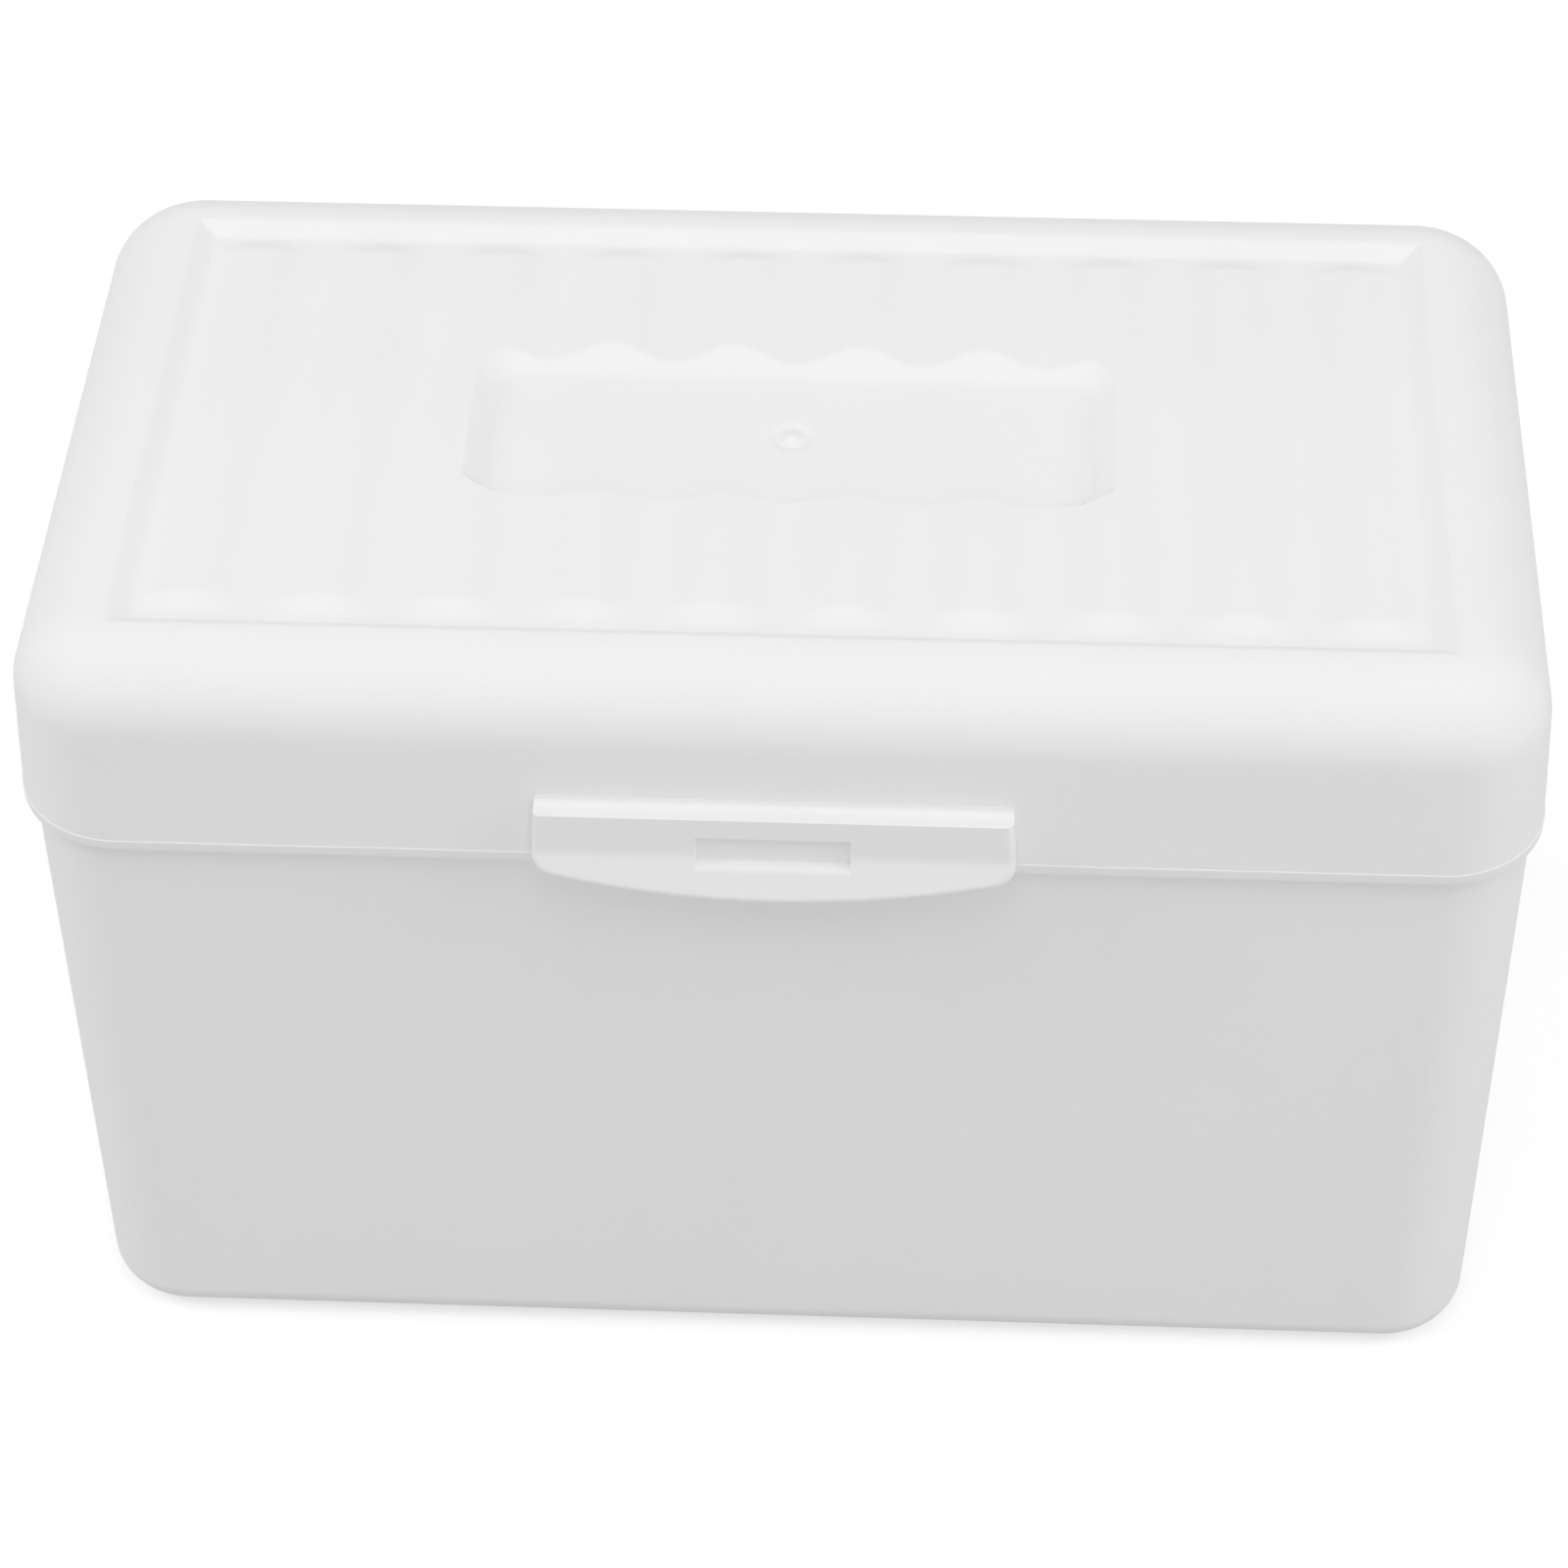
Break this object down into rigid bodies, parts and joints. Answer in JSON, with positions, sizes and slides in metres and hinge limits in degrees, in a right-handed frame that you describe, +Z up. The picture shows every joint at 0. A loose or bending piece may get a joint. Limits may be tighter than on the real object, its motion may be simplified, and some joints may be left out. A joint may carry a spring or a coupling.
{
  "type": "desk card organizer",
  "caption": "White moulded plastic card box for a desk, with a hinged corrugated lid, a label pocket, a front thumb latch and tabbed card dividers inside",
  "frame": {"origin": "middle of the tub's flat underside, on the surface that the box stands on", "axes": "+X to the right along the width, +Y to the back where the hinges are, +Z up"},
  "size_m": [0.145, 0.0917, 0.0904],
  "materials": {
    "white_polypropylene": "satin",
    "divider_sheet": "satin",
    "pin_steel": "satin"
  },
  "bodies": {
    "tub": {"tub": "white_polypropylene", "hinge_pin_left": "pin_steel", "hinge_pin_right": "pin_steel"},
    "lid": {"lid": "white_polypropylene"},
    "latch": {"latch": "white_polypropylene"},
    "divider_1": {"divider_1": "divider_sheet"},
    "divider_2": {"divider_2": "divider_sheet"},
    "divider_3": {"divider_3": "divider_sheet"},
    "divider_4": {"divider_4": "divider_sheet"},
    "divider_5": {"divider_5": "divider_sheet"}
  },
  "joints": [
    {"name": "lid_hinge", "type": "hinge", "parent": "tub", "child": "lid", "pos_m": [0, 0.0424, 0.0694], "axis": [-1, 0, 0], "range_deg": [0, 110]},
    {"name": "latch_flex", "type": "hinge", "parent": "lid", "child": "latch", "pos_m": [0, -0.03977, 0.0776], "axis": [-1, 0, 0], "range_deg": [0, 14], "stiffness_Nm_per_rad": 0.05},
    {"name": "divider_1_tilt", "type": "hinge", "parent": "tub", "child": "divider_1", "pos_m": [0, -0.02442, 0.00265], "axis": [1, 0, 0], "range_deg": [0, 7]},
    {"name": "divider_2_tilt", "type": "hinge", "parent": "tub", "child": "divider_2", "pos_m": [0, -0.01221, 0.00265], "axis": [1, 0, 0], "range_deg": [0, 7]},
    {"name": "divider_3_tilt", "type": "hinge", "parent": "tub", "child": "divider_3", "pos_m": [0, 0, 0.00265], "axis": [1, 0, 0], "range_deg": [0, 7]},
    {"name": "divider_4_tilt", "type": "hinge", "parent": "tub", "child": "divider_4", "pos_m": [0, 0.01221, 0.00265], "axis": [1, 0, 0], "range_deg": [0, 7]},
    {"name": "divider_5_tilt", "type": "hinge", "parent": "tub", "child": "divider_5", "pos_m": [0, 0.02442, 0.00265], "axis": [1, 0, 0], "range_deg": [0, 7]}
  ]
}
